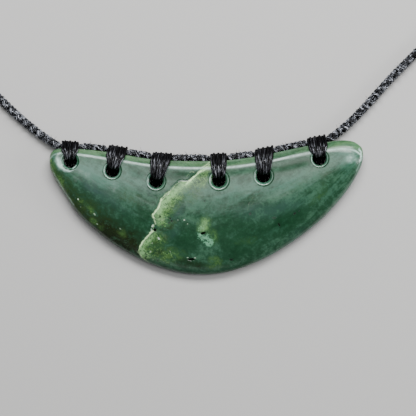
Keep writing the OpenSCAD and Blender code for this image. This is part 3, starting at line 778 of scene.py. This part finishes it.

# the countersinks' rims: painted shade in the corner at the rim, darker towards the lower right, and a
# painted highlight on the lip inside it, brighter towards the upper left
masks["grime"] = np.zeros(count)
for (hx, hy, sink_r, *_), lip in zip(BINDINGS, LIP_HIGHLIGHT_IN):
    from_rim = sink_r - np.hypot(x - hx, y - hy)
    rightward = (x - hx - 0.5 * (y - hy)) / sink_r
    masks["grime"] += (1.4 + 0.5 * rightward) * ridge(from_rim - 0.12, 0.22)
    masks["wear_and_highlight"] += LIP_HIGHLIGHT * (0.75 - 0.3 * rightward) * ridge(from_rim - lip, 0.17)
masks["grime"] *= 0.8 + 0.6 * waviness(x, y, 0.9, 8.2)
masks["wear_and_highlight"] *= 1 + 0.5 * waviness(x, y, 0.8, 5.2)

# the crack and the fine lines, which waver
wobble_x = x + 0.22 * waviness(x, y, 0.8, 1.5) + 0.1 * waviness(x, y, 0.35, 2.5)
wobble_y = y + 0.22 * waviness(x, y, 0.8, 6.5)
masks["crack"] = line_distance(CRACK, x, y)
masks["veinlet"] = thin_lines(VEINLETS, wobble_x, wobble_y)
masks["veinlet"] *= 1 + 0.7 * waviness(x, y, 0.9, 4.4) + 0.5 * waviness(x, y, 0.35, 6.4)
# the lines of painted highlight
masks["wear_and_highlight"] += thin_lines(HIGHLIGHT_LINES, wobble_x, wobble_y)
masks["fleck"] = sum(
    pit[6] * (1 - smoothstep(0.5, 1.15, in_pit(pit, x, y) + 0.3 * waviness(x, y, 0.3, pit[0])))
    for pit in PITS)

# the bevel and its arris with a painted highlight and glow, the duller strip below it, and the thin lower
# rim with a painted glow
masks["band"] = 1 - smoothstep(bevel - 0.7, bevel + 0.1, inward)
masks["band"] *= 1 - 0.5 * smoothstep(8, 18, x) * smoothstep(44, 38, x)
masks["arris"] = ridge(inward - bevel, 1.1) * (1 + 0.6 * waviness(x, y, 3.0, 6.7))
# a painted highlight along the arris
masks["wear_and_highlight"] += ARRIS_HIGHLIGHT * masks["arris"] * ridge(inward - bevel - 0.2, ARRIS_HIGHLIGHT_W)
# a painted glow just below the arris, fading to the right
glow = ARRIS_GLOW * (1 - 0.7 * smoothstep(0, 12, x))
masks["pale"] += glow * ridge(inward - bevel - 0.3, 0.7)
matt_in = MATT_IN + MATT_IN_RIGHT * smoothstep(14, 26, x)
masks["matt"] = 0.35 * smoothstep(-38, -32, x) + 0.65 * smoothstep(-14, -8, x) - smoothstep(32, 37, x)
masks["matt"] *= ridge(inward - matt_in, MATT_W)
masks["edge"] = ridge(from_low, 0.9)
# a painted glow along the thin lower rim
thin_rim = smoothstep(12, 30, x) + 0.8 * smoothstep(-36, -44, x)
masks["pale"] += RIM_GLOW * thin_rim * ridge(from_low, 0.7)

# lines that run along the crescent, for the smears of the hand polish
share = np.clip(inward / (inward + from_low), 0, 1)
over = 34 * share + 0.22 * np.hypot(x, 8)
flow = np.column_stack([x / SMEAR_LONG, over / SMEAR_WIDE, 0 * x])
bored.attributes.new("flow", "FLOAT_VECTOR", "POINT").data.foreach_set("vector", flow.ravel())
for name, values in masks.items():
    bored.attributes.new(name, "FLOAT", "POINT").data.foreach_set("value", values.astype(np.float32))

DEEP_GREEN = (0.006, 0.038, 0.015, 1)
TEAL_GREEN = (0.0125, 0.0565, 0.025, 1)
MID_GREEN = (0.025, 0.081, 0.044, 1)
# the pale clouds' colour, which also paints the sheen
GREY_GREEN = (0.049, 0.152, 0.103, 1)
SLATE_GREEN = (0.026, 0.072, 0.056, 1)
OLIVE_BROWN = (0.009, 0.019, 0.003, 1)
MOSS_GREEN = (0.092, 0.210, 0.056, 1)
DARK_MOSS = (0.024, 0.080, 0.018, 1)
LIGHT_GREEN = (0.048, 0.126, 0.069, 1)
CREAM_GREEN = (0.245, 0.485, 0.200, 1)
MINT_GREEN = (0.135, 0.345, 0.205, 1)
BAND_GREEN = (0.130, 0.270, 0.095, 1)
# the colour of the painted highlights
HIGHLIGHT_GREEN = (0.410, 0.610, 0.530, 1)
CRACK_CREAM = (0.640, 0.950, 0.490, 1)
PIT_BLACK = (0.001, 0.006, 0.002, 1)
# white crystals, and painted highlights at pits' rims
CRYSTAL_AND_GLINT_WHITE = (0.55, 0.75, 0.55, 1)
NEPHRITE_IOR = 1.61

nephrite, tree, shader = material("polished_nephrite")
place = node(tree, "ShaderNodeTexCoord").outputs["Object"]
mask = {name: node(tree, "ShaderNodeAttribute", attribute_name=name).outputs["Fac"] for name in masks}


def plus(a, b, clamp=False):
    return node(tree, "ShaderNodeMath", {0: a, 1: b}, operation="ADD", use_clamp=clamp).outputs[0]


def times(a, b, clamp=False):
    return node(tree, "ShaderNodeMath", {0: a, 1: b}, operation="MULTIPLY", use_clamp=clamp).outputs[0]


def larger(a, b):
    return node(tree, "ShaderNodeMath", {0: a, 1: b}, operation="MAXIMUM").outputs[0]


def spread(value, low, high, to_low=0.0, to_high=1.0):
    """The value's range from low to high, spread over another range and held there beyond it."""
    limits = {"From Min": low, "From Max": high, "To Min": to_low, "To Max": to_high}
    return node(tree, "ShaderNodeMapRange", {"Value": value, **limits}).outputs[0]


def mixed(factor, first, second):
    """The first colour at factor 0 and the second at 1."""
    return node(tree, "ShaderNodeMix", {0: factor, 6: first, 7: second}, data_type="RGBA").outputs[2]


def mottle(scale, detail, roughness, twist, vector=place):
    """Noise in the stone, or along another vector."""
    grading = {"Scale": scale, "Detail": detail, "Roughness": roughness, "Distortion": twist}
    return node(tree, "ShaderNodeTexNoise", {"Vector": vector, **grading}).outputs["Fac"]


flow = node(tree, "ShaderNodeAttribute", attribute_name="flow").outputs["Vector"]
drawn_out = node(tree, "ShaderNodeVectorMath", {0: flow, 1: (0.75, 0.42, 1)}, operation="MULTIPLY")
wisps = mottle(1.0, 4.0, 0.55, 1.2, drawn_out.outputs[0])
felt = mottle(560.0, 3.0, 0.5, 0.4)
grain = mottle(1500.0, 3.0, 0.5, 0.2)
dust = mottle(3000.0, 3.0, 0.6, 0.0)
swirl = mottle(1150.0, 4.0, 0.62, 1.3)
# hand polish: faint smears that follow the crescent's curve
smears = mottle(1.0, 6.0, 0.68, 0.3, flow)
fine = plus(spread(felt, 0.35, 0.65, -0.6, 0.6), spread(grain, 0.35, 0.65, -0.35, 0.35))

# the stone's own green, from light to deep
depth = plus(mask["deep"], spread(wisps, 0.36, 0.64, -0.22, 0.24))
depth = plus(depth, times(fine, 0.45))
colour = mixed(spread(depth, -0.45, 0.25), LIGHT_GREEN, MID_GREEN)
colour = mixed(spread(depth, -0.05, 0.45), colour, TEAL_GREEN)
colour = mixed(spread(depth, 0.40, 1.1), colour, DEEP_GREEN)

# the pale clouds, partly painted sheen, the slate clouds, and the ground bevel
uneven = plus(spread(wisps, 0.36, 0.64, 0.18, -0.28), spread(smears, 0.35, 0.65, -0.4, 0.4))
uneven = plus(uneven, times(fine, -0.30))
uneven = times(uneven, spread(mask["pale"], 0.0, 0.7, 0.3, 1.0))
haze = plus(mask["pale"], uneven)
colour = mixed(spread(haze, 0.0, 1.15), colour, GREY_GREEN)
speckle = plus(times(fine, 0.5), 0.9)
colour = mixed(times(mask["slate"], speckle, True), colour, SLATE_GREEN)
band = times(mask["band"], spread(smears, 0.35, 0.65, 0.08, 0.50))
colour = mixed(band, colour, BAND_GREEN)

# the olive and the mossy clouds, and the mint crumbs
specks = plus(times(fine, 0.6), spread(swirl, 0.36, 0.64, -0.55, 0.55))
clots = plus(specks, 0.5, True)
moss = mixed(clots, DARK_MOSS, MOSS_GREEN)
colour = mixed(spread(times(mask["olive"], speckle), 0.08, 0.75), colour, OLIVE_BROWN)
colour = mixed(spread(times(mask["moss"], speckle), 0.08, 0.85), colour, moss)
crumbs = plus(times(specks, 1.9), 0.80)
crumbs = times(mask["mint"], crumbs)
colour = mixed(spread(crumbs, 0.25, 0.95), colour, MINT_GREEN)

# the leafy and cream lobes on the crack's right, and the shadow on its left
flame = plus(times(specks, 0.55), 0.92)
edge = plus(mask["crack"], spread(felt, 0.3, 0.7, -0.22, 0.22))
edge = plus(edge, spread(wisps, 0.3, 0.7, -0.3, 0.3))
right_side = spread(edge, -0.10, 0.12)
for name, low, high, tint in (("leafy", 0.10, 1.1, moss), ("shade", 0.15, 0.9, OLIVE_BROWN),
                              ("cream", 0.10, 0.95, CREAM_GREEN)):
    amount = spread(times(mask[name], flame), low, high)
    if name == "cream":
        amount = times(amount, spread(edge, 0.2, 2.8, 1.5, 0.4))
    colour = mixed(times(amount, right_side), colour, tint)
shadow = times(spread(edge, -0.9, -0.1), spread(edge, -0.05, 0.1, 1.0, 0.0))
shadow = times(shadow, spread(mask["cream"], 0.1, 0.6, 0.0, 0.6))
colour = mixed(shadow, colour, DEEP_GREEN)

# light and dark clots in the leafy lobes, and the crack's bright line and threads over them
light_clots = times(spread(swirl, 0.57, 0.67), spread(mask["leafy"], 0.3, 1.0, 0.0, 0.7))
colour = mixed(times(light_clots, right_side), colour, CREAM_GREEN)
dark_clots = times(spread(swirl, 0.43, 0.35), spread(mask["leafy"], 0.3, 1.0, 0.0, 0.85))
colour = mixed(times(dark_clots, right_side), colour, DEEP_GREEN)
line = times(spread(edge, 0.03, 0.32, 1.0, 0.0), spread(mask["cream"], 0.1, 0.9, 0.3, 0.85))
line = times(line, right_side)
line = larger(line, times(mask["veinlet"], speckle, True))
colour = mixed(line, colour, CRACK_CREAM)

# painted highlights and painted shade, pits, and white crystals with some painted highlights at pits' rims
colour = mixed(spread(times(mask["wear_and_highlight"], speckle), 0.05, 0.95), colour, HIGHLIGHT_GREEN)
colour = mixed(spread(mask["grime"], 0.15, 1.0), colour, DEEP_GREEN)
colour = mixed(spread(mask["fleck"], 0.10, 0.8), colour, PIT_BLACK)
white = times(spread(mask["fleck"], -0.15, -0.9), speckle)
colour = mixed(white, colour, CRYSTAL_AND_GLINT_WHITE)
tree.links.new(colour, shader.inputs["Base Color"])

# the polish: rougher at the painted highlights and the arris, and less glossy at the painted rim shade,
# the pits, the lower edge, the deep clouds and the duller strip
polish = plus(spread(smears, 0.3, 0.7, 0.12, 0.26), spread(mask["fleck"], 0.1, 0.8, 0.0, 0.5))
polish = plus(polish, times(mask["wear_and_highlight"], 0.10))
polish = plus(polish, times(mask["arris"], 0.18))
tree.links.new(polish, shader.inputs["Roughness"])
relief = plus(dust, times(smears, 3.5))
bump = node(tree, "ShaderNodeBump", {"Height": relief, "Strength": 0.25, "Distance": 0.00004})
tree.links.new(bump.outputs[0], shader.inputs["Normal"])
gloss_loss = larger(mask["grime"], mask["fleck"])
gloss_loss = larger(gloss_loss, times(mask["edge"], 0.8))
gloss_loss = larger(gloss_loss, times(mask["deep"], 0.55))
gloss_loss = larger(gloss_loss, times(mask["matt"], 0.8))
tree.links.new(spread(gloss_loss, 0.2, 0.9, 0.5, 0.05), shader.inputs["Specular IOR Level"])
shader.inputs["IOR"].default_value = NEPHRITE_IOR
shader.inputs["Subsurface Weight"].default_value = 0.12
shader.inputs["Subsurface Radius"].default_value = (0.6, 1.0, 0.7)
shader.inputs["Subsurface Scale"].default_value = 0.001
bored.materials.clear()
bored.materials.append(nephrite)
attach(stone, "root")
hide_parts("stone")

# The lashings.
# Each is one length of waxed black thread, wound seven or eight times through its hole and over the
# cord: side by side over the edge, in two layers in the hole, with the cut ends tucked in there.
THREAD_D = 0.85
# how much the thread thickens and thins, the gap under it, and how far it strays to the side
THREAD_SWELL = 0.10
SNUG = 0.05
SWAY = 0.13
# how wide the turns lie in the hole, and how far past the bore they come down on the stone
HOLE_W = 3.6
PAST_BORE = 0.9
TURN_POINTS = 5
# a turn shifts to the next one's place on this stretch of its way, round the cord and behind
SHIFT_FROM, SHIFT_TO = 0.55, 0.95
# the squeezed cord's middle: its height, and how far outside the stone's edge it lies
CORD_Z, CORD_OUT = 2.1, 0.9
ROUND_CORD = (40, 10, -20, -50, -80, -115)
# in the hole: out from its middle, depth below the face or height above the back, and spread
UP_THE_HOLE = [(1.45, 1.5, 0), (1.6, 0.75, 0.1), (1.85, 0.1, 0.25)]
INTO_THE_BACK = [(1.75, 0.6, 0.15), (1.6, 0.95, 0.05), (1.45, 1.6, 0)]
# tucked ends: how far from the hole's middle towards and along the edge, and how deep they stop
TAILS = [
    (0.25, -1.7, 3.6), (0.25, -0.85, 3.4), (0.2, 0.0, 3.2), (0.25, 0.85, 3.5), (0.25, 1.7, 3.7),
    (-0.49, -1.3, 3.9), (-0.52, -0.43, 3.6), (-0.46, 0.43, 3.7), (-0.49, 1.3, 4.0),
    (-1.22, -1.35, 4.4), (-1.26, -0.45, 4.0), (-1.2, 0.45, 4.2), (-1.22, 1.35, 4.5), (-1.85, 0.0, 4.4),
]
# the rounded end of a tucked thread: how far along it, and its thickness there
TAIL_END = [(0, 1), (0.9, 1), (0.95, 0.85), (0.985, 0.55), (1, 0.15)]
# the thread's dark colour, and the glint colour painted on a few of its hairs as highlights
THREAD_DARK, THREAD_GLINT = (0.002, 0.002, 0.0025), (0.27, 0.28, 0.32)

thread = thread_look("waxed_thread", 55.0, 8.0, 0.22, THREAD_DARK, THREAD_GLINT)
for number, (hx, hy, sink_r, ex, edge_w, turns) in enumerate(BINDINGS, 1):
    top, low, crown, belly = (float(v) for v in section_at(ex))
    h = top - low
    bevel = float(bevel_at(ex))
    hole = np.array([hx, hy])
    edge_point = np.array([ex, top])
    out = float(np.linalg.norm(edge_point - hole))
    away = (edge_point - hole) / out
    slope = float(section_at(ex + 1)[0] - section_at(ex - 1)[0]) / 2
    along_edge = np.array([1, slope]) / math.hypot(1, slope)
    across = np.array([away[1], -away[0]])
    lift = SNUG + THREAD_D / 2
    ring = SQUEEZED_D / 2 + lift

    def face_at(a):
        return float(face_z(np.array([out - a]), h, crown, belly, bevel)[0])

    def back_at(a):
        return float(back_z(np.array([out - a]), h, crown, belly)[0])

    front, back = face_at(0), back_at(0)
    over_bevel = out - bevel / 2
    start = min(BORE_R + PAST_BORE, out - bevel)
    under_edge = max(out - TUCK_W, BORE_R + PAST_BORE)
    # one turn: out from the hole, height, and how far the turns have spread from hole to edge
    round_trip = [(1.45, (front + back) / 2, 0)]
    round_trip += [(a, front - depth, spread_out) for a, depth, spread_out in UP_THE_HOLE]
    round_trip.append((BORE_R, face_at(BORE_R) + 0.3, 0.4))
    for k in range(4):
        a = start + (over_bevel - start) * k / 3
        round_trip.append((a, face_at(a) + lift * (1 + 0.2 * k), 0.55 + 0.15 * k))
    round_trip.append((out + 0.2, face_at(out) + 1.8 * lift, 1))
    for turn in ROUND_CORD:
        round_trip.append((out + CORD_OUT + ring * math.cos(math.radians(turn)),
                           CORD_Z + ring * math.sin(math.radians(turn)), 1))
    for k in range(3):
        a = under_edge + (BORE_R + 0.6 - under_edge) * k / 2
        round_trip.append((a, back_at(a) - lift, 1 - 0.15 * k))
    round_trip.append((2.25, back_at(BORE_R), 0.4))
    round_trip += [(a, back + height, spread_out) for a, height, spread_out in INTO_THE_BACK]
    closed = round_trip[-1:] + round_trip + round_trip[:2]
    loop = np.array([eased(closed, i, k / TURN_POINTS) for i in range(1, len(round_trip) + 1)
                     for k in range(TURN_POINTS)])
    step = np.roll(loop, -1, axis=0) - np.roll(loop, 1, axis=0)
    outward = np.column_stack([-step[:, 1], step[:, 0]])
    outward /= np.linalg.norm(outward, axis=1)[:, None]
    near_edge = np.clip(loop[:, 0] / out, 0, 1)[:, None]
    sideways = across * (1 - near_edge) + along_edge * near_edge
    bundle = (HOLE_W - THREAD_D) * (1 - loop[:, 2]) + (edge_w - THREAD_D) * loop[:, 2]
    pitch = bundle / (turns - 1)
    piled = np.sqrt(np.maximum(THREAD_D ** 2 - pitch ** 2, 0))
    shift = smoothstep(SHIFT_FROM, SHIFT_TO, np.linspace(0, 1, len(loop), endpoint=False))
    gone = np.arange(len(loop)) / 9.0
    wound = []
    for k in range(turns):
        place_across = (k + shift - (turns - 1) / 2 - 0.5 * (k == turns - 1) * shift) * pitch
        odd = (k % 2) * (1 - shift) + ((k + 1) % 2) * shift
        sway = np.array([noise.noise((g, 3.3 * k, number)) for g in gone])
        sway = sway * SWAY * np.clip(loop[:, 2] * 2, 0, 1)
        swell = 1 + THREAD_SWELL * np.array([noise.noise((g, 3.3 * k, number + 9)) for g in gone * 1.7])
        bulge = odd * piled + 0.5 * np.abs(sway)
        a = loop[:, 0] + outward[:, 0] * bulge
        z = loop[:, 1] + outward[:, 1] * bulge
        plan = hole + a[:, None] * away + (place_across + sway)[:, None] * sideways
        on_face = (z > front - 0.9) & (loop[:, 0] < out) & (np.hypot(*(plan - hole).T) > BORE_R)
        floor = face_z(out - loop[:, 0], h, crown, belly, bevel) - sink_depth(*plan.T) + 0.85 * lift
        z = np.where(on_face, np.maximum(z, floor), z)
        wound.append(np.column_stack([plan, z, swell]))
    lines = [np.concatenate(wound)]
    for a, aside, stop in TAILS:
        plan = hole + a * away + aside * across
        foot, height = back + 0.4, front - stop - back - 0.4
        lines.append(np.array([(*plan, foot + height * t, thick) for t, thick in TAIL_END]))
    lashing = tubes("thread_lashing_%d" % number, lines, THREAD_D / 2)
    co = np.empty(len(lashing.data.vertices) * 3)
    lashing.data.vertices.foreach_get("co", co)
    co = co.reshape(-1, 3) / MM
    # painted shade: deep in the hole, and less round the cord, the threads are darkened and lose their
    # gloss
    from_hole = np.hypot(co[:, 0] - hx, co[:, 1] - hy)
    in_hole = smoothstep(front - 0.5, front - 1.5, co[:, 2]) * (from_hole < BORE_R + 0.3)
    over_cord = 0.6 * smoothstep(6.3, 4.8, co[:, 2])
    painted_shade = np.maximum(in_hole, over_cord).astype(np.float32)
    lashing.data.attributes.new("painted_shade", "FLOAT", "POINT").data.foreach_set("value", painted_shade)
    lashing.data.materials.append(thread)
    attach(lashing, "root")
    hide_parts("lashing_%d" % number)

bpy.context.view_layer.update()
